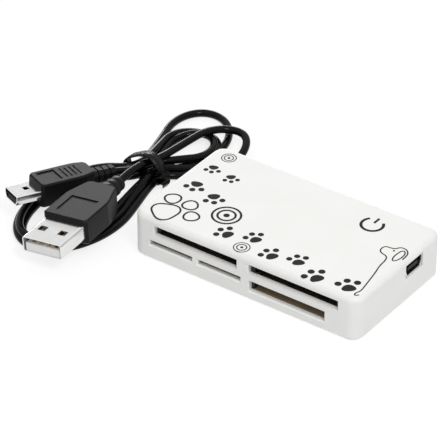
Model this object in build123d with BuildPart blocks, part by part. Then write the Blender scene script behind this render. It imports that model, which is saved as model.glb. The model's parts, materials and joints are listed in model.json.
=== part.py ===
"""USB memory card reader with its tied lead, at real size in millimetres.

Frame: +Z up, the case stands on z = 0 with its bottom centre at the origin. The card
mouths face -Y and the lead's socket is in the +X side. The unplugged lead lies tied
in a hank on the same surface, beside the -X end.
"""
from build123d import *
import math
import os

# Case
corner_radius = 3.4
top_edge_radius = 1.4
bottom_edge_chamfer = 0.7
wall = 1.5
roof = 1.5
floor = 1.5
floor_gap = 1.05
roof_gap = 0.2
rear_space = 14.3

# Lip, rebate and snap beads that hold the two covers together
lip_height = 1.0
lip_thickness = 0.7
lip_clearance = 0.1
lip_start = 11.0
bead_length = 5.0
bead_height = 0.4
bead_depth = 0.2
bead_spacing = 36.0

# Circuit board and the posts that carry it
board_thickness = 1.0
board_gap = 0.4
post_radius = 1.3
post_sides = 6
post_inset = 0.5
post_gap = 0.75
pin_radius = 0.7
pin_rise = 0.9
pin_clearance = 0.1

# Cards, how much wider than its card each mouth is, and the contacts of each socket
standard_card_width = 24.0
standard_mouth_slack = 2.3
standard_socket_depth = 21.0
standard_contact_pitch = 2.5
standard_contact_count = 9
thin_card_width = 25.0
thin_mouth_slack = 2.7
thin_socket_depth = 18.5
thin_contact_pitch = 1.3
thin_contact_count = 18
micro_card_width = 11.0
micro_mouth_slack = 2.6
micro_contact_pitch = 1.1
micro_contact_count = 8
mini_card_width = 12.5
mini_mouth_slack = 1.0
mini_contact_pitch = 1.0
mini_contact_count = 11
small_socket_depth = 13.0
stick_card_width = 21.5
stick_mouth_slack = 1.9
stick_socket_depth = 22.0
stick_contact_pitch = 1.8
stick_contact_count = 10
card_clearance = 0.5

# Mouths in the front wall and the sockets behind them
upper_mouth_height = 2.7
small_mouth_height = 1.4
stick_mouth_height = 3.0
mouth_chamfer = 0.35
row_shift = 0.5
lower_post_gap = 0.25
upper_spacing = 2.3
small_spacing = 0.45
stick_spacing = 1.35
socket_base = 0.6
socket_gap = 0.2
socket_margin = 0.5
socket_rear = 1.2
socket_sheet = 0.25
slit_width = 1.6
slit_share = 0.3
slit_middle = 0.45
contact_thickness = 0.2
contact_lift = 0.05
contact_foot = 1.0
contact_riser_gap = 0.3
contact_rise = 0.7
contact_reach = 7.0
contact_share = 0.5

# Profile shared by the small plug and its socket
mini_width = 6.8
mini_height = 3.0
mini_base_width = 5.4
mini_side = 1.5
mini_corner = 0.35

# Socket for the lead
port_gap = 1.1
port_length = 9.0
port_recess = 0.3
port_sheet = 0.3
port_clearance = 0.15
port_mouth_gap = 0.2
tongue_width = 4.6
tongue_thickness = 1.0
tongue_length = 5.4
tongue_drop = 0.1
port_contact_width = 0.4
port_contact_thickness = 0.15
port_contact_pitch = 0.8
port_contact_setback = 0.8
port_contact_count = 5

# Lamp and the light guide between it and a thin skin of the roof, placed from the right end and the back
guide_from_end = 16.2
guide_from_back = 8.7
guide_head_width = 8.6
guide_foot_width = 2.2
guide_clearance = 0.05
light_skin = 0.5
led_length = 2.0
led_width = 1.3
led_height = 0.7
led_edge = 0.18
led_gap = 0.3

# Parts on the circuit board; places are x and the distance in front of the back wall
chip_place = (-13.0, 6.5)
chip_length = 10.2
chip_width = 5.3
chip_height = 1.6
chip_lift = 0.15
chip_edge = 0.3
chip_dot_radius = 0.4
chip_dot_depth = 0.1
chip_dot_inset = 1.2
chip_leads = 14
chip_pitch = 0.65
lead_width = 0.3
lead_shoulder = 0.4
lead_knee = 0.6
lead_reach = 1.2
lead_thickness = 0.15
crystal_place = (3.0, 5.5)
crystal_length = 11.0
crystal_width = 4.6
crystal_height = 3.2
crystal_brim = 0.35
capacitor_size = (2.0, 1.25, 0.9)
capacitor_places = [(-22.0, 9.0), (-22.0, 6.5), (-22.0, 4.0), (-4.0, 9.5), (10.5, 9.5), (10.5, 7.0)]
resistor_size = (1.6, 0.8, 0.45)
resistor_places = [(-26.0, 9.0), (-26.0, 7.0), (-26.0, 5.0), (24.5, 5.0), (24.5, 3.0), (28.0, 3.0)]

# Lead: what both plugs share
lead_diameter = 2.2
strand_gap = 0.1
plug_inserted = 3.0
plug_sheet = 0.3
plug_lift = 0.03
block_setback = 0.4
grip_edge = 0.8
grip_rim = 0.4
panel_depth = 0.25
relief_length = 7.5
rib_rise = 0.45
rib_slope = 0.5
rib_cut_share = 0.5

# Lead: large plug; the place is measured from the left end and the middle of the case
large_place = (-14.7, -29.9)
large_turn = (-1.0, -5.0, 5.5)
large_width = 12.0
large_height = 4.5
large_corner = 0.7
large_exposed = 11.2
large_window = 2.3
large_window_spacing = 6.2
large_window_setback = 5.6
large_block_height = 2.2
large_contact_width = 1.0
large_contact_pitch = 2.3
large_contact_count = 4
large_contact_length = 8.0
large_contact_thickness = 0.15
large_contact_setback = 1.2
large_grip_side = 0.8
large_grip_cover = 1.35
large_grip_length = 19.5
large_grip_straight = 11.5
large_grip_back = 8.6
large_panel = (8.4, 8.0)
large_panel_start = 2.6
large_relief_radii = (2.7, 1.8)
large_rib_count = 3

# Lead: small plug; the place is measured from the left end and the middle of the case
small_place = (-32.0, -20.9)
small_turn = (-5.0, 0.0, -23.0)
small_exposed = 7.2
small_window = 1.6
small_window_setback = 4.4
small_block_height = 1.2
small_contact_width = 0.4
small_contact_pitch = 0.8
small_contact_count = 5
small_contact_length = 4.0
small_contact_thickness = 0.15
small_contact_setback = 0.8
small_grip_side = 0.7
small_grip_cover = 2.0
small_grip_length = 17.0
small_grip_straight = 13.0
small_grip_back = 6.2
small_panel = (5.6, 5.4)
small_panel_start = 1.6
small_relief_radii = (1.8, 1.5)
small_rib_count = 4
groove_count = 4
groove_width = 0.45
groove_pitch = 1.4
groove_start = 8.6
groove_margin = 1.6

# Lead: tied hank; x is measured from the left end of the case
waist_x = -17.7
waist_width = 11.0
waist_bottom = 0.8
waist_height = 6.2
waist_start = 6.8
waist_end = 14.2
waist_corner = 2.4
neck_width = 6.4
tie_y = 10.4
tie_width = 3.2
tie_thickness = 0.6
tie_twist_length = 2.5
tie_twist_width = 2.2
loops_band = 4.8
far_loops_centre = (-13.7, 30.3)
far_loops_radii = (13.0, 15.2)
far_loops_layers = 2
near_loops_centre = (-22.6, -13.5)
near_loops_radii = (13.1, 21.5)
near_loops_layers = 1

# Small helpers for cuts, selections and alignment
overcut = 1.0
near = 0.01
on_floor = (Align.CENTER, Align.CENTER, Align.MIN)
under_roof = (Align.CENTER, Align.CENTER, Align.MAX)

# Heights, stacked from the floor up to the roof
board_bottom = floor + floor_gap + socket_sheet + stick_mouth_height + socket_base
board_top = board_bottom + board_thickness
parting_height = board_top + socket_base
port_height = mini_height + 2 * port_clearance + 2 * port_sheet
port_middle = board_top + port_height / 2
upper_socket_top = parting_height + upper_mouth_height + socket_sheet
roof_under = roof_gap + max(upper_socket_top, board_top + port_height)
case_height = roof_under + roof

# Length of the case, from the upper row of mouths and the posts beside it
socket_side = socket_margin + socket_sheet
post_room = post_inset + 2 * post_radius
standard_mouth = standard_card_width + standard_mouth_slack
thin_mouth = thin_card_width + thin_mouth_slack
micro_mouth = micro_card_width + micro_mouth_slack
mini_mouth = mini_card_width + mini_mouth_slack
stick_mouth = stick_card_width + stick_mouth_slack
upper_web = upper_spacing + 2 * socket_side
upper_row = standard_mouth + upper_web + thin_mouth
case_length = upper_row + 2 * (wall + post_room + post_gap + socket_side + row_shift)
inner_length = case_length - 2 * wall
case_left = -case_length / 2

# Depth of the case, from the deepest upper socket and the room behind it
contact_tail = contact_riser_gap + contact_thickness + contact_foot
inner_depth = socket_gap + standard_socket_depth + contact_tail + rear_space
case_depth = inner_depth + 2 * wall
front_face = -case_depth / 2
back_wall = inner_depth / 2
socket_face = socket_gap - inner_depth / 2

# Places that follow from those sizes
board_length = inner_length - 2 * board_gap
board_depth = inner_depth - 2 * board_gap
board_corner = corner_radius - wall - board_gap
post_x = inner_length / 2 - post_radius - post_inset
post_y = inner_depth / 2 - post_radius - post_inset
pin_places = [(-post_x, post_y), (post_x, -post_y)]
port_width = mini_width + 2 * port_clearance + 2 * port_sheet
port_centre_y = socket_face + thin_socket_depth + contact_tail + port_gap + port_width / 2
port_front = case_length / 2 - port_recess
port_rear = port_front - port_length
guide_x = case_length / 2 - guide_from_end
guide_y = case_depth / 2 - guide_from_back
guide_top = case_height - light_skin
hank_layer = lead_diameter + strand_gap
pieces = {}


class Card:
    """One card mouth in the front wall and the socket behind it."""

    def __init__(self, name, left, mouth_width, height, above, card_width, depth, count, pitch):
        self.name = name
        self.centre_x = left + mouth_width / 2
        self.mouth_width = mouth_width
        self.above = above
        self.cavity_width = card_width + card_clearance
        self.cavity_height = height
        self.body_width = mouth_width + 2 * socket_margin
        self.depth = depth
        self.count = count
        self.pitch = pitch
        self.bottom = parting_height if above else board_bottom - socket_base - height
        self.top = self.bottom + height
        side = 1 if above else -1
        self.plane = Plane(
            origin=(self.centre_x, socket_face, board_top if above else board_bottom),
            x_dir=(side, 0, 0),
            z_dir=(0, 0, side),
        )


standard_left = row_shift - upper_row / 2
thin_left = standard_left + standard_mouth + upper_web
micro_left = case_left + wall + post_room + lower_post_gap + socket_side
mini_left = micro_left + micro_mouth + small_spacing + 2 * socket_side
stick_left = mini_left + mini_mouth + stick_spacing + 2 * socket_side
standard_card = Card(
    "standard_card",
    standard_left,
    standard_mouth,
    upper_mouth_height,
    True,
    standard_card_width,
    standard_socket_depth,
    standard_contact_count,
    standard_contact_pitch,
)
thin_card = Card(
    "thin_card",
    thin_left,
    thin_mouth,
    upper_mouth_height,
    True,
    thin_card_width,
    thin_socket_depth,
    thin_contact_count,
    thin_contact_pitch,
)
micro_card = Card(
    "micro_card",
    micro_left,
    micro_mouth,
    small_mouth_height,
    False,
    micro_card_width,
    small_socket_depth,
    micro_contact_count,
    micro_contact_pitch,
)
mini_card = Card(
    "mini_card",
    mini_left,
    mini_mouth,
    small_mouth_height,
    False,
    mini_card_width,
    small_socket_depth,
    mini_contact_count,
    mini_contact_pitch,
)
stick_card = Card(
    "stick_card",
    stick_left,
    stick_mouth,
    stick_mouth_height,
    False,
    stick_card_width,
    stick_socket_depth,
    stick_contact_count,
    stick_contact_pitch,
)
cards = [standard_card, thin_card, micro_card, mini_card, stick_card]


def mouth_edges(part, card):
    """Edges of one mouth that lie in the front face."""
    reach = card.mouth_width / 2 + near
    edges = part.edges().filter_by_position(Axis.Y, front_face - near, front_face + near)
    edges = edges.filter_by_position(Axis.X, card.centre_x - reach, card.centre_x + reach)
    return edges.filter_by_position(Axis.Z, card.bottom - near, card.top + near)


def board_place(place):
    """Point on top of the board from an x and a distance in front of the back wall."""
    return (place[0], back_wall - place[1], board_top)


def case_outline(inset):
    """Plan outline of the case, drawn in by the given inset."""
    RectangleRounded(case_length - 2 * inset, case_depth - 2 * inset, corner_radius - inset)


def rim_sketch(outer_inset, front):
    """Band along the back and side walls, from the given inset to the inner face of the wall."""
    case_outline(outer_inset)
    RectangleRounded(inner_length, inner_depth, corner_radius - wall, mode=Mode.SUBTRACT)
    with Locations((0, front)):
        Rectangle(case_length, case_depth, align=(Align.CENTER, Align.MAX), mode=Mode.SUBTRACT)


def bead_boxes(growth, mode):
    """Snap beads on the outer face of the lip at the back, or the grooves that take them."""
    bead_face = case_depth / 2 - wall + lip_thickness
    with Locations((0, bead_face, parting_height + lip_height / 2)):
        with GridLocations(bead_spacing, 1, 2, 1):
            Box(
                bead_length + 2 * growth,
                2 * (bead_depth + growth),
                bead_height + 2 * growth,
                mode=mode,
            )


def port_cutout():
    """Opening in the side wall round the lead's socket."""
    with Locations((case_length / 2, port_centre_y, port_middle)):
        Box(
            2 * (wall + overcut),
            port_width + 2 * port_mouth_gap,
            port_height + 2 * port_mouth_gap,
            mode=Mode.SUBTRACT,
        )


def post_sections():
    """Sections of the four posts under the board and of the four bosses over it."""
    with GridLocations(2 * post_x, 2 * post_y, 2, 2):
        RegularPolygon(post_radius, post_sides)


def mini_sketch(growth):
    """Wide-topped outline of the small plug, grown by a clearance."""
    top = mini_height / 2 + growth
    shoulder = mini_height / 2 - mini_side
    half_top = mini_width / 2 + growth
    half_base = mini_base_width / 2 + growth
    right_side = [(half_top, top), (half_top, shoulder), (half_base, -top)]
    left_side = [(-x, y) for x, y in reversed(right_side)]
    with BuildLine() as outline:
        FilletPolyline(*right_side, *left_side, radius=mini_corner, close=True)
    make_face(outline.edges())


# Bottom cover: tray with the lower mouths, the lip with its beads, and the board posts
with BuildPart() as bottom_cover:
    with BuildSketch():
        case_outline(0)
    extrude(amount=parting_height)
    chamfer(bottom_cover.faces().sort_by(Axis.Z)[0].edges(), bottom_edge_chamfer)
    with BuildSketch(Plane.XY.offset(floor)):
        case_outline(wall)
    extrude(amount=parting_height - floor, mode=Mode.SUBTRACT)
    with BuildSketch(Plane.XY.offset(parting_height)):
        rim_sketch(wall - lip_thickness, front_face + lip_start)
    extrude(amount=lip_height)
    bead_boxes(0, Mode.ADD)
    with BuildSketch(Plane.XY.offset(floor)):
        post_sections()
    extrude(amount=board_bottom - floor)
    with Locations(*[(x, y, board_bottom) for x, y in pin_places]):
        Cylinder(pin_radius, board_thickness + pin_rise, align=on_floor)
    for card in cards:
        if not card.above:
            with Locations((card.centre_x, front_face + wall / 2, card.bottom)):
                Box(card.mouth_width, 2 * wall, card.cavity_height, align=on_floor, mode=Mode.SUBTRACT)
            chamfer(mouth_edges(bottom_cover, card), mouth_chamfer)
    port_cutout()
pieces["bottom_cover"] = bottom_cover

# Top cover: lid with the upper mouths, the rebate for the lip, the board bosses and the guide's pocket
with BuildPart() as top_cover:
    with BuildSketch(Plane.XY.offset(parting_height)):
        case_outline(0)
    extrude(amount=case_height - parting_height)
    fillet(top_cover.faces().sort_by(Axis.Z)[-1].edges(), top_edge_radius)
    with BuildSketch(Plane.XY.offset(parting_height)):
        case_outline(wall)
    extrude(amount=roof_under - parting_height, mode=Mode.SUBTRACT)
    with BuildSketch(Plane.XY.offset(parting_height)):
        rim_sketch(wall - lip_thickness - lip_clearance, front_face + lip_start - lip_clearance)
    extrude(amount=lip_height + lip_clearance, mode=Mode.SUBTRACT)
    bead_boxes(lip_clearance, Mode.SUBTRACT)
    with BuildSketch(Plane.XY.offset(board_top)):
        post_sections()
    extrude(amount=roof_under - board_top)
    with Locations(*[(x, y, board_top) for x, y in pin_places]):
        Cylinder(pin_radius + pin_clearance, pin_rise + pin_clearance, align=on_floor, mode=Mode.SUBTRACT)
    pocket_width = guide_head_width + 2 * guide_clearance
    with Locations((guide_x, guide_y, guide_top)):
        Box(pocket_width, pocket_width, guide_top - roof_under, align=under_roof, mode=Mode.SUBTRACT)
    for card in cards:
        if card.above:
            with Locations((card.centre_x, front_face + wall / 2, card.bottom)):
                Box(card.mouth_width, 2 * wall, card.cavity_height, align=on_floor, mode=Mode.SUBTRACT)
            chamfer(mouth_edges(top_cover, card), mouth_chamfer)
    port_cutout()
pieces["top_cover"] = top_cover

# Circuit board with a hole for each locating pin
with BuildPart() as circuit_board:
    with BuildSketch(Plane.XY.offset(board_bottom)):
        RectangleRounded(board_length, board_depth, board_corner)
        with Locations(*pin_places):
            Circle(pin_radius + pin_clearance, mode=Mode.SUBTRACT)
    extrude(amount=board_thickness)
pieces["circuit_board"] = circuit_board


def socket_body(card):
    """Insulator: a floor on the board, two side walls and a rear wall with a slit for the contacts."""
    with BuildPart(card.plane) as body:
        whole = socket_base + card.cavity_height
        with Locations((0, card.depth / 2, 0)):
            Box(card.body_width, card.depth, whole, align=on_floor)
        with Locations((0, (card.depth - socket_rear) / 2, socket_base)):
            Box(
                card.cavity_width,
                card.depth - socket_rear,
                card.cavity_height,
                align=on_floor,
                mode=Mode.SUBTRACT,
            )
        with Locations((0, card.depth - socket_rear / 2, socket_base)):
            Box(
                card.count * card.pitch,
                2 * socket_rear,
                contact_thickness + 2 * contact_lift,
                align=on_floor,
                mode=Mode.SUBTRACT,
            )
    return body


def socket_cover(card):
    """Folded sheet over the open side of the insulator, with a skirt down each side."""
    with BuildPart(card.plane) as cover:
        whole = socket_base + card.cavity_height
        width = card.body_width + 2 * socket_sheet
        with Locations((0, card.depth / 2, socket_base)):
            Box(width, card.depth, card.cavity_height + socket_sheet, align=on_floor)
            Box(card.body_width, card.depth, card.cavity_height, align=on_floor, mode=Mode.SUBTRACT)
        with Locations((0, card.depth * slit_middle, whole)):
            with GridLocations(card.cavity_width / 2, 1, 2, 1):
                Box(slit_width, card.depth * slit_share, socket_sheet, align=on_floor, mode=Mode.SUBTRACT)
    return cover


def socket_contacts(card):
    """Spring strips: a foot on the board, a riser behind the socket and a rising finger inside it."""
    rise = socket_base + contact_lift
    riser = card.depth + contact_riser_gap
    root = card.depth - 2 * socket_rear
    tip = card.depth - contact_reach
    thick = contact_thickness
    profile = [
        (riser + thick + contact_foot, 0),
        (riser + thick + contact_foot, thick),
        (riser + thick, thick),
        (riser + thick, rise + thick),
        (root, rise + thick),
        (tip, rise + contact_rise + thick),
        (tip, rise + contact_rise),
        (root, rise),
        (riser, rise),
        (riser, 0),
    ]
    first = -(card.count - 1) * card.pitch / 2
    planes = [
        Plane(
            origin=card.plane.from_local_coords((first + i * card.pitch, 0, 0)),
            x_dir=card.plane.y_dir,
            z_dir=card.plane.x_dir,
        )
        for i in range(card.count)
    ]
    with BuildPart() as contacts:
        with BuildSketch(*planes):
            with BuildLine():
                Polyline(*profile, close=True)
            make_face()
        extrude(amount=card.pitch * contact_share / 2, both=True)
    return contacts


for card in cards:
    pieces[card.name + "_socket"] = socket_body(card)
    pieces[card.name + "_cover"] = socket_cover(card)
    pieces[card.name + "_contacts"] = socket_contacts(card)

# Socket for the lead: folded metal shell, insulator with its tongue, and five contacts under the tongue
port_plane = Plane(origin=(port_rear, port_centre_y, port_middle), x_dir=(0, 1, 0), z_dir=(1, 0, 0))
with BuildPart() as port_shell:
    with BuildSketch(port_plane):
        mini_sketch(port_clearance + port_sheet)
        with BuildSketch(mode=Mode.PRIVATE) as port_bore:
            mini_sketch(port_clearance)
        add(port_bore.sketch, mode=Mode.SUBTRACT)
    extrude(amount=port_length)
pieces["port_shell"] = port_shell

tongue_bottom = -tongue_drop - tongue_thickness / 2
with BuildPart() as port_tongue:
    with BuildSketch(port_plane):
        mini_sketch(port_clearance)
    extrude(amount=port_length - tongue_length - port_recess)
    with BuildSketch(port_plane):
        with Locations((0, -tongue_drop)):
            Rectangle(tongue_width, tongue_thickness)
    extrude(amount=port_length - port_recess)
pieces["port_tongue"] = port_tongue

with BuildPart() as port_contacts:
    with BuildSketch(port_plane.offset(port_length - tongue_length - port_recess)):
        with Locations((0, tongue_bottom - port_contact_thickness / 2)):
            with GridLocations(port_contact_pitch, 1, port_contact_count, 1):
                Rectangle(port_contact_width, port_contact_thickness)
    extrude(amount=tongue_length - port_contact_setback)
pieces["port_contacts"] = port_contacts

# Light guide: a head in the pocket under the skin of the roof, and a foot over the lamp
lamp_top = board_top + led_height
with BuildPart() as power_light_guide:
    with Locations((guide_x, guide_y, guide_top)):
        Box(guide_head_width, guide_head_width, guide_top - roof_under, align=under_roof)
        Box(guide_foot_width, guide_foot_width, guide_top - lamp_top - led_gap, align=under_roof)
pieces["power_light_guide"] = power_light_guide

with BuildPart() as status_led:
    with Locations((guide_x, guide_y, board_top)):
        Box(led_length, led_width, led_height, align=on_floor)
    chamfer(status_led.faces().sort_by(Axis.Z)[-1].edges(), led_edge)
pieces["status_led"] = status_led

# Controller: moulded body and its gull-wing leads
chip_x, chip_y, chip_foot = board_place(chip_place)
with BuildPart() as controller_chip:
    with Locations((chip_x, chip_y, chip_foot + chip_lift)):
        Box(chip_length, chip_width, chip_height, align=on_floor)
    chamfer(controller_chip.faces().sort_by(Axis.Z)[-1].edges(), chip_edge)
    dot_x = chip_x - chip_length / 2 + chip_dot_inset
    dot_y = chip_y - chip_width / 2 + chip_dot_inset
    with Locations((dot_x, dot_y, chip_foot + chip_lift + chip_height)):
        Cylinder(chip_dot_radius, chip_dot_depth, align=under_roof, mode=Mode.SUBTRACT)
pieces["controller_chip"] = controller_chip

lead_root = chip_width / 2
lead_high = chip_lift + chip_height / 2
lead_profile = [
    (lead_root, lead_high),
    (lead_root + lead_shoulder, lead_high),
    (lead_root + lead_knee, 0),
    (lead_root + lead_reach, 0),
    (lead_root + lead_reach, lead_thickness),
    (lead_root + lead_knee + lead_thickness, lead_thickness),
    (lead_root + lead_shoulder + lead_thickness, lead_high + lead_thickness),
    (lead_root, lead_high + lead_thickness),
]
first_lead = chip_x - (chip_leads - 1) * chip_pitch / 2
lead_planes = [
    Plane(origin=(first_lead + i * chip_pitch, chip_y, chip_foot), x_dir=(0, side, 0), z_dir=(side, 0, 0))
    for i in range(chip_leads)
    for side in (1, -1)
]
with BuildPart() as controller_leads:
    with BuildSketch(*lead_planes):
        with BuildLine():
            Polyline(*lead_profile, close=True)
        make_face()
    extrude(amount=lead_width / 2, both=True)
pieces["controller_leads"] = controller_leads

# Crystal can with its brim
with BuildPart() as crystal_can:
    crystal_plane = Plane(board_place(crystal_place))
    with BuildSketch(crystal_plane):
        SlotOverall(crystal_length, crystal_width)
    extrude(amount=crystal_brim)
    with BuildSketch(crystal_plane.offset(crystal_brim)):
        SlotOverall(crystal_length - 2 * crystal_brim, crystal_width - 2 * crystal_brim)
    extrude(amount=crystal_height - crystal_brim)
pieces["crystal_can"] = crystal_can

with BuildPart() as chip_capacitors:
    with Locations(*[board_place(place) for place in capacitor_places]):
        Box(*capacitor_size, align=on_floor)
pieces["chip_capacitors"] = chip_capacitors

with BuildPart() as chip_resistors:
    with Locations(*[board_place(place) for place in resistor_places]):
        Box(*resistor_size, align=on_floor)
pieces["chip_resistors"] = chip_resistors


class Plug:
    """One end of the lead: its frame, the sizes of its grip and its strain relief."""

    def __init__(self, place, turn, width, height, length, straight, back, radii, ribs):
        self.width = width
        self.height = height
        self.length = length
        self.straight = straight
        self.back = back
        self.radii = radii
        self.ribs = ribs
        self.frame = self.resting_frame(place, turn)
        self.relief_start = self.frame.from_local_coords((0, length, 0))
        self.relief_end = self.frame.from_local_coords((0, length + relief_length, 0))

    def resting_frame(self, place, turn):
        """Frame at the grip's front: x across, y back, z up, with the grip on one layer of strands."""
        flat = Plane(Location((case_left + place[0], place[1], 0), turn))
        corners = [
            flat.from_local_coords((x, y, -self.height / 2))
            for x in (-self.width / 2, self.width / 2)
            for y in (0, self.length)
        ]
        lift = hank_layer + plug_lift - min(corner.Z for corner in corners)
        return Plane(origin=flat.origin + Vector(0, 0, lift), x_dir=flat.x_dir, z_dir=flat.z_dir)

    def valley(self, rib):
        """Radius of the strain relief behind the given rib."""
        return self.radii[0] + (self.radii[1] - self.radii[0]) * (rib + 1) / self.ribs

    def across(self, back):
        """Plane across the plug at a distance behind the grip's front face, facing the nose."""
        origin = self.frame.from_local_coords((0, back, 0))
        return Plane(origin=origin, x_dir=self.frame.x_dir, z_dir=-self.frame.y_dir)


def round_relief(plug):
    """Turned strain relief: flat-topped ribs with sloping sides that get smaller to the end."""
    step = relief_length / plug.ribs
    points = [(0, 0), (0, plug.radii[0])]
    for i in range(plug.ribs):
        points.append((i * step + rib_slope, plug.valley(i) + rib_rise))
        points.append(((i + 1) * step - rib_slope, plug.valley(i) + rib_rise))
        points.append(((i + 1) * step, plug.valley(i)))
    with BuildPart(mode=Mode.PRIVATE) as relief:
        with BuildSketch(Plane(origin=plug.relief_start, x_dir=plug.frame.y_dir, z_dir=plug.frame.z_dir)):
            with BuildLine():
                Polyline(*points, (relief_length, 0), close=True)
            make_face()
        revolve(axis=Axis(plug.relief_start, plug.frame.y_dir))
    return relief.part


def square_relief(plug):
    """Strain relief of square ribs with cut corners, on a core that gets smaller to the end."""
    step = relief_length / plug.ribs
    with BuildPart(mode=Mode.PRIVATE) as relief:
        for i in range(plug.ribs):
            for length, half in ((step, plug.valley(i)), (step - rib_slope, plug.valley(i) + rib_rise)):
                with BuildSketch(plug.across(plug.length + i * step + length)) as section:
                    Rectangle(2 * half, 2 * half)
                    chamfer(section.vertices(), half * rib_cut_share)
                extrude(amount=length)
    return relief.part


def plug_grip(plug, pocket, panel, panel_start, grooves, relief):
    """Moulded grip: tapered body, pocket for the shell, sunk panel, and a ribbed strain relief."""
    half = plug.width / 2
    right_side = [(half, 0), (half, plug.straight), (plug.back / 2, plug.length)]
    left_side = [(-x, y) for x, y in reversed(right_side)]
    with BuildPart() as grip:
        with BuildSketch(plug.frame):
            with BuildLine():
                Polyline(*right_side, *left_side, close=True)
            make_face()
        extrude(amount=plug.height / 2, both=True)
        along = Axis(plug.frame.origin, plug.frame.z_dir)
        chamfer(grip.edges().filter_by(along), grip_edge)
        chamfer(grip.faces().filter_by(along).edges(), grip_rim)
        with BuildSketch(plug.across(plug_inserted)):
            pocket()
        extrude(amount=plug_inserted, mode=Mode.SUBTRACT)
        with BuildSketch(plug.frame.offset(plug.height / 2 - panel_depth)):
            with Locations((0, panel_start + panel[1] / 2)):
                Rectangle(*panel)
            for i in range(grooves):
                with Locations((0, groove_start + i * groove_pitch)):
                    Rectangle(plug.width - 2 * groove_margin, groove_width)
        extrude(amount=panel_depth, mode=Mode.SUBTRACT)
        add(relief(plug))
    return grip


def large_outline(inset):
    """Outline of the large plug's shell, drawn in by the given inset."""
    RectangleRounded(large_width - 2 * inset, large_height - 2 * inset, large_corner - inset)


# Large plug: folded shell with four latch windows, insulating block, contacts and grip
large_plug = Plug(
    large_place,
    large_turn,
    large_width + 2 * large_grip_side,
    large_height + 2 * large_grip_cover,
    large_grip_length,
    large_grip_straight,
    large_grip_back,
    large_relief_radii,
    large_rib_count,
)
with BuildPart() as large_plug_shell:
    with BuildSketch(large_plug.across(plug_inserted)):
        large_outline(0)
        with BuildSketch(mode=Mode.PRIVATE) as large_bore:
            large_outline(plug_sheet)
        add(large_bore.sketch, mode=Mode.SUBTRACT)
    extrude(amount=plug_inserted + large_exposed)
    with BuildSketch(large_plug.frame):
        with Locations((0, large_window_setback - large_exposed)):
            with GridLocations(large_window_spacing, 1, 2, 1):
                Rectangle(large_window, large_window)
    extrude(amount=large_height, both=True, mode=Mode.SUBTRACT)
pieces["large_plug_shell"] = large_plug_shell

large_block_bottom = plug_sheet - large_height / 2
with BuildPart() as large_plug_block:
    with BuildSketch(large_plug.across(plug_inserted)):
        with Locations((0, large_block_bottom)):
            Rectangle(
                large_width - 2 * large_corner,
                large_block_height,
                align=(Align.CENTER, Align.MIN),
            )
    extrude(amount=plug_inserted + large_exposed - block_setback)
pieces["large_plug_block"] = large_plug_block

large_contact_back = large_contact_length + large_contact_setback - large_exposed
with BuildPart() as large_plug_contacts:
    with BuildSketch(large_plug.across(large_contact_back)):
        with Locations((0, large_block_bottom + large_block_height + large_contact_thickness / 2)):
            with GridLocations(large_contact_pitch, 1, large_contact_count, 1):
                Rectangle(large_contact_width, large_contact_thickness)
    extrude(amount=large_contact_length)
pieces["large_plug_contacts"] = large_plug_contacts

pieces["large_plug_grip"] = plug_grip(
    large_plug,
    lambda: large_outline(0),
    large_panel,
    large_panel_start,
    grooves=0,
    relief=round_relief,
)

# Small plug: wide-topped shell with one latch window, insulating block, contacts and grip
small_plug = Plug(
    small_place,
    small_turn,
    mini_width + 2 * small_grip_side,
    mini_height + 2 * small_grip_cover,
    small_grip_length,
    small_grip_straight,
    small_grip_back,
    small_relief_radii,
    small_rib_count,
)
with BuildPart() as small_plug_shell:
    with BuildSketch(small_plug.across(plug_inserted)):
        mini_sketch(0)
        with BuildSketch(mode=Mode.PRIVATE) as small_bore:
            mini_sketch(-plug_sheet)
        add(small_bore.sketch, mode=Mode.SUBTRACT)
    extrude(amount=plug_inserted + small_exposed)
    with BuildSketch(small_plug.frame):
        with Locations((0, small_window_setback - small_exposed)):
            Rectangle(small_window, small_window)
    extrude(amount=mini_height, mode=Mode.SUBTRACT)
pieces["small_plug_shell"] = small_plug_shell

small_block_bottom = plug_sheet - mini_height / 2
with BuildPart() as small_plug_block:
    with BuildSketch(small_plug.across(plug_inserted)):
        with Locations((0, small_block_bottom)):
            Rectangle(
                mini_base_width - 2 * plug_sheet - mini_corner,
                small_block_height,
                align=(Align.CENTER, Align.MIN),
            )
    extrude(amount=plug_inserted + small_exposed - block_setback)
pieces["small_plug_block"] = small_plug_block

small_contact_back = small_contact_length + small_contact_setback - small_exposed
with BuildPart() as small_plug_contacts:
    with BuildSketch(small_plug.across(small_contact_back)):
        with Locations((0, small_block_bottom + small_block_height + small_contact_thickness / 2)):
            with GridLocations(small_contact_pitch, 1, small_contact_count, 1):
                Rectangle(small_contact_width, small_contact_thickness)
    extrude(amount=small_contact_length)
pieces["small_plug_contacts"] = small_plug_contacts

pieces["small_plug_grip"] = plug_grip(
    small_plug,
    lambda: mini_sketch(0),
    small_panel,
    small_panel_start,
    groove_count,
    relief=square_relief,
)

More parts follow.
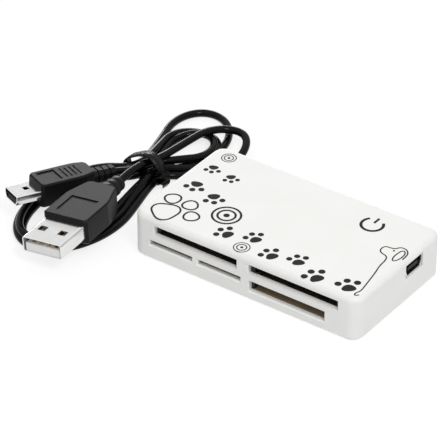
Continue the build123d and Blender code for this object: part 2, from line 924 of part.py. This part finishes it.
# Hank: fanned loops on both sides of a tied waist, as one outer shape
waist_centre_x = case_left + waist_x
with BuildPart() as lead_hank:
    waist_foot = (waist_centre_x, waist_start, waist_bottom)
    with BuildSketch(Plane(origin=waist_foot, x_dir=(-1, 0, 0), z_dir=(0, 1, 0))):
        with Locations((0, waist_height / 2)):
            RectangleRounded(waist_width, waist_height, waist_corner)
    extrude(amount=waist_end - waist_start)
    for centre, radii, layers, side in (
        (far_loops_centre, far_loops_radii, far_loops_layers, 1),
        (near_loops_centre, near_loops_radii, near_loops_layers, -1),
    ):
        tie_edge = tie_y + side * tie_width
        loops_edge = centre[1] - side * (radii[1] - loops_band / 2)
        with BuildSketch():
            with Locations((case_left + centre[0], centre[1])):
                Ellipse(*radii)
                Ellipse(radii[0] - loops_band, radii[1] - loops_band, mode=Mode.SUBTRACT)
            with Locations((waist_centre_x, (tie_edge + loops_edge) / 2)):
                Rectangle(neck_width, abs(tie_edge - loops_edge))
        extrude(amount=layers * hank_layer)
pieces["lead_hank"] = lead_hank


def lead_tail(name, plug):
    """Free stretch of the lead, straight from a strain relief to the waist of the hank."""
    leaving = plug.frame.y_dir
    run = (waist_start - plug.relief_end.Y) / leaving.Y
    with BuildPart() as tail:
        with BuildSketch(Plane(origin=plug.relief_end, z_dir=leaving)):
            Circle(lead_diameter / 2)
        extrude(amount=run + lead_diameter)
        split(bisect_by=Plane(origin=(0, waist_start, 0), z_dir=(0, -1, 0)), keep=Keep.TOP)
    expected = math.pi * lead_diameter**2 / 4 * run
    print(name, "volume", round(tail.part.volume, 2), "expected", round(expected, 2))
    return tail


pieces["large_plug_tail"] = lead_tail("large_plug_tail", large_plug)
pieces["small_plug_tail"] = lead_tail("small_plug_tail", small_plug)

# Twist tie: flat band round the waist, with its twisted ends standing out on the reader's side
with BuildPart() as twist_tie:
    tie_middle = waist_bottom + waist_height / 2
    with BuildSketch(Plane(origin=(waist_centre_x, tie_y, tie_middle), x_dir=(-1, 0, 0), z_dir=(0, 1, 0))):
        RectangleRounded(
            waist_width + 2 * tie_thickness,
            waist_height + 2 * tie_thickness,
            waist_corner + tie_thickness,
        )
        RectangleRounded(waist_width, waist_height, waist_corner, mode=Mode.SUBTRACT)
    extrude(amount=tie_width / 2, both=True)
    twist_start = waist_centre_x + (waist_width + tie_thickness) / 2
    with BuildSketch(Plane(origin=(twist_start, tie_y, tie_middle), z_dir=(1, 0, 0))):
        Rectangle(tie_twist_width, tie_twist_width / 2)
    extrude(amount=tie_twist_length)
pieces["twist_tie"] = twist_tie

os.makedirs("parts", exist_ok=True)
for label, piece in pieces.items():
    piece.part.label = label
    export_step(piece.part, f"parts/{label}.step")
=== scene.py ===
"""The card reader and its tied lead, dressed for the photograph's view.

Sizes are in millimetres, in the frame of the CAD part, and become metres where an object is made.
"""

import json
import math

import bpy
from mathutils import Matrix, Vector


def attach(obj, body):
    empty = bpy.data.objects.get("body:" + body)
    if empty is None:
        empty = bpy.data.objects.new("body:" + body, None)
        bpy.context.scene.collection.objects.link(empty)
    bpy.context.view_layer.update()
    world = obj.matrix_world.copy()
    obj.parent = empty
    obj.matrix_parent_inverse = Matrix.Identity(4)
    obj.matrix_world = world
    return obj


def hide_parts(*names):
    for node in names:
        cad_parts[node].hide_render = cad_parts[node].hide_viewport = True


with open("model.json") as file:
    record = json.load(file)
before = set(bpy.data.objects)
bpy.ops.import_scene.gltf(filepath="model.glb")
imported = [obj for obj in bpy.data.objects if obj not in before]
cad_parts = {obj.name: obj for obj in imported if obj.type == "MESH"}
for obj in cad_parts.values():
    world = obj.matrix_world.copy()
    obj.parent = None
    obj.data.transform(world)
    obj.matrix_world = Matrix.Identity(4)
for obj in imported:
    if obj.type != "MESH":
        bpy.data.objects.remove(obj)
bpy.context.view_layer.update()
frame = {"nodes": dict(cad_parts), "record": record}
nodes = frame["nodes"]
METRE = 1000.0

# camera: a long lens on a 36 mm sensor, for a square image
camera_azimuth = 35.49
camera_elevation = 34.05
camera_roll = 0.24
camera_distance = 842.9
camera_shift_right = -16.34
camera_shift_up = 9.855
camera_lens = 257.14
camera_sensor = 36.0
camera_clip = 10.0

# floor: its colour for the light it throws back, then its own white and its shading where it is seen
floor_half = 3000.0
floor_pale = 0.78
floor_white = 0.76
floor_shade = 0.28

# studio: its grey at the horizon, the height of direction at which it is white, and its light
horizon_shade = 0.5
horizon_rise = 0.7
world_light = 0.75

# lamps: place, point aimed at, size and power
lamps = {
    "key": ((270, -190, 440), (0, 0, 0), (150, 150), 0.98),
    "strip": ((-399, 457, 126), (-50, 10, 5), (300, 90), 1.0),
}

# surfaces: the range that noise is read in, the size and detail of the mottling, and the grain
noise_low = 0.3
noise_high = 0.7
mottle_scale = 90.0
mottle_detail = 4.0
grain_detail = 2.0
grain_strength = 0.35

# edges of the grips: how far they are rounded, in how many steps, from which angle on
edge_width = 0.15
edge_steps = 2
edge_angle = 50
weld_distance = 0.001

# the lead: its thickness, the two ends of the hank's waist, and the points and hump of a loop
lead_diameter = 2.2
waist_near = 7.4
waist_far = 13.4
turn_points = 14
hump_power = 3

# how finely the lead's curve is drawn
lead_order = 3
lead_steps = 8
lead_sides = 10

# the way from the large plug to the waist, and from the waist to the small plug
lead_start = [(-52.75, -3.1, 6.4), (-53.3, 1.2, 6.5)]
lead_end = [(-56.4, 4.3, 4.7), (-58.0, 1.6, 5.2)]

# each pass under the tie: across and height at the near and at the far end of the waist
lead_passes = [
    ((-53.2, 6.3), (-51.6, 5.6)),
    ((-49.6, 1.7), (-48.9, 1.6)),
    ((-57.7, 1.7), (-57.3, 1.6)),
    ((-50.8, 3.9), (-50.6, 3.4)),
    ((-57.0, 3.9), (-56.0, 3.7)),
    ((-52.3, 1.7), (-51.9, 1.5)),
    ((-55.0, 1.7), (-54.6, 1.6)),
    ((-54.6, 4.0), (-53.5, 3.7)),
]


class Loop:
    """One loop of the hank: an arc of a leaning ellipse, then the points on its way back to the waist."""

    def __init__(self, centre, radii, lean, ends, heights, way_back):
        self.centre = centre
        self.radii = radii
        self.lean = math.radians(lean)
        self.ends = ends
        self.heights = heights
        self.way_back = way_back

    def points(self):
        first, top, last = self.heights
        route = []
        for step in range(turn_points):
            share = step / (turn_points - 1)
            angle = math.radians(self.ends[0] + (self.ends[1] - self.ends[0]) * share)
            across = self.radii[0] * math.cos(angle)
            along = self.radii[1] * math.sin(angle)
            level = first + (last - first) * share
            rise = (top - level) * math.sin(math.pi * share) ** hump_power
            route.append((
                self.centre[0] + across * math.cos(self.lean) - along * math.sin(self.lean),
                self.centre[1] + across * math.sin(self.lean) + along * math.cos(self.lean),
                level + rise,
            ))
        return route + self.way_back


# far and near loops in turn, from the large plug on
lead_loops = [
    Loop((-43.9, 29.6), (7.0, 10.6), 0, (186, -40), (4.9, 3.5, 1.4), [(-41.4, 17.2, 1.1)]),
    Loop((-58.2, -14.6), (13.2, 20.4), 0, (28, -205), (1.1, 1.1, 1.1), [(-65.4, 3.4, 1.2)]),
    Loop((-54.0, 34.2), (8.9, 12.7), 22, (186, -30), (1.3, 1.1, 1.1),
         [(-42.6, 25.6, 1.1), (-45.0, 18.4, 1.8)]),
    Loop((-58.8, -14.4), (11.5, 19.8), 0, (28, -200), (1.1, 3.0, 3.0), [(-65.0, 3.6, 3.3)]),
    Loop((-51.8, 28.0), (7.5, 8.7), 0, (200, -40), (2.4, 1.1, 1.1), [(-48.8, 17.8, 1.2)]),
    Loop((-59.4, -14.2), (9.8, 19.0), 0, (28, -208), (1.1, 1.1, 1.1), [(-61.4, 3.2, 1.4)]),
    Loop((-51.2, 27.2), (6.3, 7.6), 0, (192, -55), (1.5, 2.6, 3.2), [(-50.2, 17.2, 3.6)]),
]

# print on the roof: ink thickness, points round a shape, and the lobes of a pad
roof_height = 13.0
ink = 0.03
round_points = 30
lobe_count = 3
pad_lobes = 0.07
pad_stretch = 1.15

# small paw prints: place of the pad, heading, and reach from the pad to the toes
paw_prints = [
    (-30.3, 9.4, -69, 2.3),
    (-23.8, 8.3, -53, 2.25),
    (-29.2, 0.2, -78, 2.9),
    (-22.0, -2.0, -53, 2.9),
    (-8.7, -14.4, 163, 2.95),
    (-1.4, -12.1, 145, 2.8),
    (6.3, -15.8, 153, 2.95),
    (13.4, -14.1, 131, 2.85),
    (21.2, -17.2, 150, 3.3),
    (30.2, -16.0, 131, 3.3),
]
toe_spread = 49
pad_share = 0.5
toe_share = 0.285

# the large paw print in outline: places and radii of its pad and toes
outlined_pad = ((-28.3, -15.1), 3.75, 172)
outlined_toes = [((-30.2, -9.1), 2.2, -60), ((-24.6, -9.0), 2.1, 100), ((-21.3, -13.1), 2.1, 10)]
outlined_lobes = (0.1, 0.04)
outline_stroke = 0.53

# ring marks: centre, the radius and stroke of each ring, and the radius of the dot
ring_marks = [
    ((-14.1, -7.3), [(3.85, 0.62), (2.4, 0.62)], 0.85),
    ((-2.35, -17.0), [(2.15, 0.27), (1.3, 0.32)], 0.42),
    ((-29.7, 15.6), [(2.0, 0.25), (1.25, 0.28)], 0.42),
]

# a plain dog in outline, looking left from the right end, and its ear
dog_line = [
    (34.3, 2.6), (34.2, 5.4), (33.0, 7.0), (31.0, 7.2), (30.1, 5.6), (28.9, 5.3), (27.3, 5.2), (27.0, 3.3),
    (28.0, 2.0), (30.0, 1.7), (30.9, 0.2), (31.0, -3.0), (31.9, -6.6), (32.5, -10.2), (33.1, -13.6),
    (33.3, -15.4), (32.7, -16.7), (32.9, -17.6), (33.5, -17.6), (33.9, -16.9),
]
dog_ear = [(31.9, 6.3), (33.5, 5.7), (33.7, 2.4), (32.6, 0.3), (31.6, 2.2)]
dog_eye = ((30.3, 4.7), 0.3)
dog_stroke = 0.36
smooth_steps = 5

# power sign over the lamp inside: an open ring, and a bar in its gap
sign_centre = (19.16, 11.49)
sign_radius = 2.97
sign_stroke = 0.8
sign_gap = 90
sign_bar = (0.9, 3.4)
sign_bar_stroke = 0.66

# tie: the middle line of its band round the strands, seen from the front
tie_line = [
    (-60.0, 2.0), (-60.4, 3.6), (-59.3, 5.2), (-57.4, 6.3), (-54.6, 7.9), (-51.9, 8.3), (-50.4, 7.4),
    (-48.7, 5.6), (-48.0, 3.6), (-47.6, 1.6), (-48.6, 0.35), (-53.5, 0.3), (-58.6, 0.35),
]
tie_centre = 10.4
tie_width = 3.2
tie_thickness = 0.35

# its creases, and its ends twisted together: how they turn, and how much wider they get
tie_crease = 0.12
crease_turn = 2.4
twist_start = (-48.4, 9.6, 4.6)
twist_end = (-45.6, 8.0, 1.9)
twist_turns = 1.25
twist_flare = 0.12
twist_steps = 16


def metres(point):
    return Vector(point) / METRE


def add_object(name, data):
    made = bpy.data.objects.new(name, data)
    bpy.context.scene.collection.objects.link(made)
    return made


def mesh_object(name, points, faces):
    mesh = bpy.data.meshes.new(name)
    mesh.from_pydata([metres(point) for point in points], [], faces)
    mesh.update()
    return add_object(name, mesh)


def surface(name):
    """A new node material, its tree and its main shader."""
    material = bpy.data.materials.new(name)
    material.use_nodes = True
    tree = material.node_tree
    return material, tree, tree.nodes["Principled BSDF"]


def noise(tree, scale, detail, stretch=(1.0, 1.0, 1.0)):
    """Noise fixed to the object, finer along the axes that are stretched."""
    place = tree.nodes.new("ShaderNodeTexCoord")
    mapping = tree.nodes.new("ShaderNodeMapping")
    mapping.inputs["Scale"].default_value = stretch
    texture = tree.nodes.new("ShaderNodeTexNoise")
    texture.inputs["Scale"].default_value = scale
    texture.inputs["Detail"].default_value = detail
    tree.links.new(place.outputs["Object"], mapping.inputs["Vector"])
    tree.links.new(mapping.outputs["Vector"], texture.inputs["Vector"])
    return texture.outputs["Fac"]


def spread(tree, value, low, high):
    """The noise value, which stays near one half, spread between two numbers."""
    node = tree.nodes.new("ShaderNodeMapRange")
    node.inputs["From Min"].default_value = noise_low
    node.inputs["From Max"].default_value = noise_high
    node.inputs["To Min"].default_value = low
    node.inputs["To Max"].default_value = high
    tree.links.new(value, node.inputs["Value"])
    return node.outputs["Result"]


def between(tree, value, one, other):
    """A colour between two tints, by a noise value."""
    ramp = tree.nodes.new("ShaderNodeValToRGB")
    ramp.color_ramp.elements[0].position = noise_low
    ramp.color_ramp.elements[1].position = noise_high
    ramp.color_ramp.elements[0].color = (*one, 1)
    ramp.color_ramp.elements[1].color = (*other, 1)
    tree.links.new(value, ramp.inputs["Fac"])
    return ramp.outputs["Color"]


def finish_surface(name, tints, roughness, grain, depth, metallic=0.0, stretch=(1.0, 1.0, 1.0), specular=0.5):
    """A surface with mottled colour, uneven gloss and a fine grain."""
    material, tree, shader = surface(name)
    cloud = noise(tree, mottle_scale, mottle_detail)
    tree.links.new(between(tree, cloud, *tints), shader.inputs["Base Color"])
    fine = noise(tree, grain, grain_detail, stretch)
    tree.links.new(spread(tree, fine, *roughness), shader.inputs["Roughness"])
    bump = tree.nodes.new("ShaderNodeBump")
    bump.inputs["Strength"].default_value = grain_strength
    bump.inputs["Distance"].default_value = depth / METRE
    tree.links.new(fine, bump.inputs["Height"])
    tree.links.new(bump.outputs["Normal"], shader.inputs["Normal"])
    shader.inputs["Metallic"].default_value = metallic
    shader.inputs["Specular IOR Level"].default_value = specular
    return material


# each material: two tints, the range of roughness, the scale and depth of the grain, and what else it needs
material_rows = {
    "case_white": (((0.86, 0.86, 0.838), (0.885, 0.885, 0.868)), (0.42, 0.52), 2600.0, 0.006),
    "socket_black": (((0.012, 0.011, 0.010), (0.020, 0.018, 0.016)), (0.45, 0.6), 1800.0, 0.01),
    "socket_steel": (((0.44, 0.32, 0.19), (0.54, 0.41, 0.26)), (0.4, 0.55), 900.0, 0.004),
    "contact_gold": (((0.72, 0.48, 0.18), (0.84, 0.60, 0.26)), (0.2, 0.32), 1500.0, 0.003),
    "board_green": (((0.010, 0.075, 0.028), (0.018, 0.11, 0.04)), (0.3, 0.45), 500.0, 0.01),
    "port_steel": (((0.60, 0.59, 0.57), (0.70, 0.69, 0.67)), (0.18, 0.3), 900.0, 0.003),
    "port_black": (((0.005, 0.005, 0.005), (0.010, 0.010, 0.010)), (0.4, 0.55), 1800.0, 0.008),
    "guide_clear": (((0.74, 0.76, 0.76), (0.80, 0.82, 0.82)), (0.12, 0.2), 1200.0, 0.002),
    "lamp_white": (((0.75, 0.74, 0.68), (0.82, 0.81, 0.76)), (0.25, 0.4), 1200.0, 0.003),
    "chip_black": (((0.012, 0.012, 0.012), (0.02, 0.02, 0.02)), (0.5, 0.65), 2200.0, 0.01),
    "lead_tin": (((0.55, 0.55, 0.54), (0.64, 0.64, 0.63)), (0.3, 0.45), 1200.0, 0.004),
    "crystal_steel": (((0.58, 0.57, 0.55), (0.66, 0.65, 0.63)), (0.22, 0.35), 900.0, 0.004),
    "capacitor_tan": (((0.30, 0.19, 0.09), (0.38, 0.25, 0.13)), (0.45, 0.6), 1800.0, 0.006),
    "plug_nickel": (((0.76, 0.76, 0.755), (0.83, 0.83, 0.825)), (0.14, 0.19), 700.0, 0.003),
    "block_grey": (((0.84, 0.84, 0.83), (0.88, 0.88, 0.87)), (0.4, 0.55), 1500.0, 0.006),
    "grip_black": (((0.004, 0.004, 0.0041), (0.007, 0.007, 0.0072)), (0.36, 0.44), 2400.0, 0.012),
    "lead_black": (((0.002, 0.002, 0.002), (0.004, 0.004, 0.004)), (0.11, 0.14), 400.0, 0.0005),
    "tie_black": (((0.004, 0.004, 0.004), (0.009, 0.009, 0.009)), (0.22, 0.36), 1300.0, 0.01),
    "print_charcoal": (((0.008, 0.008, 0.0085), (0.012, 0.012, 0.0127)), (0.5, 0.65), 2600.0, 0.004),
}
material_extras = {
    "case_white": {"specular": 0.35},
    "socket_steel": {"metallic": 0.3, "stretch": (1, 8, 1)},
    "contact_gold": {"metallic": 1.0},
    "port_steel": {"metallic": 1.0, "stretch": (8, 1, 1)},
    "port_black": {"specular": 0.2},
    "lead_tin": {"metallic": 1.0},
    "crystal_steel": {"metallic": 1.0, "stretch": (6, 1, 1)},
    "plug_nickel": {"metallic": 1.0, "stretch": (1, 7, 1)},
    "grip_black": {"specular": 0.15},
    "lead_black": {"specular": 0.12},
    "tie_black": {"stretch": (1, 5, 1), "specular": 0.15},
    "print_charcoal": {"specular": 0.1},
}


def make_materials():
    made = {}
    for name, row in material_rows.items():
        made[name] = finish_surface(name, *row, **material_extras.get(name, {}))
    return made


def dress_nodes(materials):
    slots = {row["node"]: row["material_slot"] for row in frame["record"]["subparts"]}
    for name, piece in nodes.items():
        piece.data.materials.clear()
        piece.data.materials.append(materials[slots[name]])


def soften_edges(name):
    """Round the sharp edges of a CAD piece a little; its own mesh stays as it is."""
    piece = nodes[name]
    piece.modifiers.new("weld", "WELD").merge_threshold = weld_distance / METRE
    edge = piece.modifiers.new("edge", "BEVEL")
    edge.width = edge_width / METRE
    edge.segments = edge_steps
    edge.limit_method = "ANGLE"
    edge.angle_limit = math.radians(edge_angle)
    edge.harden_normals = True


def around(centre, distance, angle):
    """Point at a distance and an angle in degrees from a centre."""
    turn = math.radians(angle)
    return (centre[0] + distance * math.cos(turn), centre[1] + distance * math.sin(turn))


def lobed(centre, radius, heading=0, lobes=0.0, stretch=1.0):
    """Round outline; lobes make it a rounded triangle with a corner at the heading, stretch widens it."""
    outline = []
    for step in range(round_points):
        angle = 360 * step / round_points
        swell = 1 + lobes * math.cos(math.radians(lobe_count * angle))
        ahead = around((0, 0), radius * swell, angle)
        forward = around(centre, ahead[0] / stretch, heading)
        outline.append(around(forward, ahead[1] * stretch, heading + 90))
    return outline


def smooth(corners, closed=False):
    """Points of a soft curve that passes the middles of the stretches between the corners."""
    count = len(corners)
    ring = [corners[step % count] for step in range(count + 2)] if closed else corners
    path = [] if closed else [corners[0]]
    for one, two, three in zip(ring, ring[1:], ring[2:]):
        for step in range(smooth_steps):
            share = step / smooth_steps
            weights = ((1 - share) ** 2 / 2, 0.5 + share * (1 - share), share**2 / 2)
            weighted = list(zip(weights, (one, two, three)))
            x = sum(weight * corner[0] for weight, corner in weighted)
            y = sum(weight * corner[1] for weight, corner in weighted)
            path.append((x, y))
    return path if closed else path + [corners[-1]]


class Print:
    """Flat printed shapes that lie on the roof."""

    def __init__(self):
        self.points = []
        self.faces = []

    def add_points(self, places):
        first = len(self.points)
        self.points += [(x, y, roof_height + ink) for x, y in places]
        return first

    def patch(self, outline):
        first = self.add_points(outline)
        self.faces.append(tuple(range(first, first + len(outline))))

    def band(self, path, stroke, closed=True):
        """Line of the given stroke along a path."""
        count = len(path)
        rims = []
        for step in range(count):
            before = path[step - 1] if closed or step else path[0]
            after = path[(step + 1) % count] if closed or step < count - 1 else path[-1]
            along = Vector((after[0] - before[0], after[1] - before[1])).normalized()
            side = Vector((-along.y, along.x)) * stroke / 2
            rims += [Vector(path[step]) - side, Vector(path[step]) + side]
        first = self.add_points(rims)
        for step in range(count if closed else count - 1):
            this = first + 2 * step
            following = first + 2 * ((step + 1) % count)
            self.faces.append((this, following, following + 1, this + 1))

    def finish(self, name, material):
        piece = mesh_object(name, self.points, self.faces)
        layer = piece.modifiers.new("layer", "SOLIDIFY")
        layer.thickness = ink / METRE
        layer.offset = -1
        piece.data.materials.append(material)
        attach(piece, "root")


def make_print(material):
    marks = Print()
    for x, y, heading, reach in paw_prints:
        marks.patch(lobed((x, y), pad_share * reach, heading, pad_lobes, pad_stretch))
        for turn in (-toe_spread, 0, toe_spread):
            marks.patch(lobed(around((x, y), reach, heading + turn), toe_share * reach))
    marks.band(lobed(*outlined_pad, outlined_lobes[0]), outline_stroke)
    for toe in outlined_toes:
        marks.band(lobed(*toe, outlined_lobes[1]), outline_stroke)
    for centre, rings, dot in ring_marks:
        for radius, stroke in rings:
            marks.band(lobed(centre, radius), stroke)
        marks.patch(lobed(centre, dot))
    marks.band(smooth(dog_line), dog_stroke, closed=False)
    marks.band(smooth(dog_ear, closed=True), dog_stroke)
    marks.patch(lobed(*dog_eye))
    marks.finish("roof_print", material)


def make_sign(material):
    """Power sign: an open ring and a bar."""
    sign = Print()
    swing = 360 - sign_gap
    arc = [
        around(sign_centre, sign_radius, 90 + sign_gap / 2 + swing * step / round_points)
        for step in range(round_points + 1)
    ]
    sign.band(arc, sign_stroke, closed=False)
    bar = [around(sign_centre, distance, 90) for distance in sign_bar]
    sign.band(bar, sign_bar_stroke, closed=False)
    sign.finish("power_sign", material)


def make_tie(material):
    """Flat band round the strands, creased across, with its two ends twisted together."""
    line = smooth(tie_line, closed=True)
    count = len(line)
    points = []
    faces = []
    for step, (x, z) in enumerate(line):
        crease = tie_crease * math.sin(crease_turn * step)
        points += [
            (x, tie_centre - tie_width / 2, z),
            (x, tie_centre, z + crease),
            (x, tie_centre + tie_width / 2, z),
        ]
        this = 3 * step
        following = 3 * ((step + 1) % count)
        faces += [(this + k, this + k + 1, following + k + 1, following + k) for k in (0, 1)]
    first = len(points)
    run = Vector(twist_end) - Vector(twist_start)
    side = run.cross((0, 0, 1)).normalized()
    above = side.cross(run).normalized()
    for step in range(twist_steps + 1):
        share = step / twist_steps
        angle = 2 * math.pi * twist_turns * share
        reach = (side * math.cos(angle) + above * math.sin(angle)) * tie_width * (0.5 + twist_flare * share)
        middle = Vector(twist_start) + run * share
        points += [middle - reach, middle + reach]
    for step in range(twist_steps):
        this = first + 2 * step
        faces.append((this, this + 1, this + 3, this + 2))
    tie = mesh_object("tie", points, faces)
    layer = tie.modifiers.new("layer", "SOLIDIFY")
    layer.thickness = tie_thickness / METRE
    layer.offset = 0
    tie.data.shade_smooth()
    tie.data.materials.append(material)
    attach(tie, "root")
    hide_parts("twist_tie")
    return tie


def lead_route():
    """Points of the lead from plug to plug: a pass under the tie, then a loop, by turns."""
    route = list(lead_start)
    for number, (near, far) in enumerate(lead_passes):
        near_end = (near[0], waist_near, near[1])
        far_end = (far[0], waist_far, far[1])
        outward = number % 2 == 0
        route += [near_end, far_end] if outward else [far_end, near_end]
        if number < len(lead_loops):
            route += lead_loops[number].points()
    return route + lead_end


def make_lead(material):
    curve = bpy.data.curves.new("lead", "CURVE")
    curve.dimensions = "3D"
    curve.bevel_depth = lead_diameter / 2 / METRE
    curve.bevel_resolution = lead_sides
    curve.resolution_u = lead_steps
    spline = curve.splines.new("NURBS")
    route = lead_route()
    spline.points.add(len(route) - 1)
    for place, point in zip(spline.points, route):
        place.co = (*metres(point), 1.0)
    spline.order_u = lead_order
    spline.use_endpoint_u = True
    spline.use_smooth = True
    curve.materials.append(material)
    return add_object("lead", curve)


def make_camera():
    turn = math.radians(camera_azimuth)
    rise = math.radians(camera_elevation)
    roll = math.radians(camera_roll)
    level = Vector((math.cos(turn), math.sin(turn), 0))
    back = Vector((math.sin(turn) * math.cos(rise), -math.cos(turn) * math.cos(rise), math.sin(rise)))
    above = back.cross(level)
    right = level * math.cos(roll) + above * math.sin(roll)
    up = above * math.cos(roll) - level * math.sin(roll)
    place = back * camera_distance + right * camera_shift_right + up * camera_shift_up
    data = bpy.data.cameras.new("camera")
    data.lens = camera_lens
    data.sensor_width = camera_sensor
    data.clip_start = camera_clip / METRE
    camera = add_object("camera", data)
    camera.matrix_world = Matrix.Translation(metres(place)) @ Matrix((right, up, back)).transposed().to_4x4()
    bpy.context.scene.camera = camera


def area_lamp(name, place, aim, size, power):
    data = bpy.data.lights.new(name, "AREA")
    data.shape = "RECTANGLE"
    data.size = size[0] / METRE
    data.size_y = size[1] / METRE
    data.energy = power
    lamp = add_object(name, data)
    lamp.location = metres(place)
    lamp.rotation_euler = (Vector(place) - Vector(aim)).to_track_quat("Z", "Y").to_euler()


def seen_directly(tree, low, high):
    """High for rays from the camera, gloss and clear pieces, and low for the light on the object."""
    light_path = tree.nodes.new("ShaderNodeLightPath")
    total = light_path.outputs["Is Camera Ray"]
    for kind in ("Is Glossy Ray", "Is Transmission Ray"):
        joined = tree.nodes.new("ShaderNodeMath")
        joined.operation = "MAXIMUM"
        tree.links.new(total, joined.inputs[0])
        tree.links.new(light_path.outputs[kind], joined.inputs[1])
        total = joined.outputs["Value"]
    amount = tree.nodes.new("ShaderNodeMapRange")
    amount.inputs["To Min"].default_value = low
    amount.inputs["To Max"].default_value = high
    tree.links.new(total, amount.inputs["Value"])
    return amount.outputs["Result"]


def make_floor():
    """Pale matt floor that is white where it is seen, and keeps the object's shadow."""
    sides = ((-1, -1), (1, -1), (1, 1), (-1, 1))
    corners = [(floor_half * x, floor_half * y, 0) for x, y in sides]
    floor = mesh_object("floor", corners, [(0, 1, 2, 3)])
    material = bpy.data.materials.new("floor_white")
    material.use_nodes = True
    tree = material.node_tree
    tree.nodes.clear()
    matt = tree.nodes.new("ShaderNodeBsdfDiffuse")
    matt.inputs["Color"].default_value = (floor_pale, floor_pale, floor_pale, 1)
    shaded = tree.nodes.new("ShaderNodeBsdfDiffuse")
    shaded.inputs["Color"].default_value = (floor_shade, floor_shade, floor_shade, 1)
    white = tree.nodes.new("ShaderNodeEmission")
    white.inputs["Strength"].default_value = floor_white
    both = tree.nodes.new("ShaderNodeAddShader")
    mix = tree.nodes.new("ShaderNodeMixShader")
    output = tree.nodes.new("ShaderNodeOutputMaterial")
    tree.links.new(shaded.outputs["BSDF"], both.inputs[0])
    tree.links.new(white.outputs["Emission"], both.inputs[1])
    tree.links.new(seen_directly(tree, 0.0, 1.0), mix.inputs["Fac"])
    tree.links.new(matt.outputs["BSDF"], mix.inputs[1])
    tree.links.new(both.outputs["Shader"], mix.inputs[2])
    tree.links.new(mix.outputs["Shader"], output.inputs["Surface"])
    floor.data.materials.append(material)


def make_world():
    """White studio, darker towards the horizon."""
    world = bpy.data.worlds.new("studio")
    world.use_nodes = True
    tree = world.node_tree
    background = tree.nodes["Background"]
    direction = tree.nodes.new("ShaderNodeTexCoord")
    parts = tree.nodes.new("ShaderNodeSeparateXYZ")
    shade = tree.nodes.new("ShaderNodeMapRange")
    shade.inputs["From Max"].default_value = horizon_rise
    shade.inputs["To Min"].default_value = horizon_shade
    tree.links.new(direction.outputs["Generated"], parts.inputs["Vector"])
    tree.links.new(parts.outputs["Z"], shade.inputs["Value"])
    tree.links.new(shade.outputs["Result"], background.inputs["Color"])
    tree.links.new(seen_directly(tree, world_light, 1.0), background.inputs["Strength"])
    bpy.context.scene.world = world


def make_stage():
    make_floor()
    make_world()
    for name, (place, aim, size, power) in lamps.items():
        area_lamp(name, place, aim, size, power)


materials = make_materials()
dress_nodes(materials)
for name in ("large_plug_grip", "small_plug_grip"):
    soften_edges(name)
make_print(materials["print_charcoal"])
make_sign(materials["print_charcoal"])
tie = make_tie(materials["tie_black"])
lead = make_lead(materials["lead_black"])
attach(lead, "root")
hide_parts("lead_hank", "large_plug_tail", "small_plug_tail")
make_stage()
make_camera()
bpy.context.scene.view_settings.view_transform = "Standard"
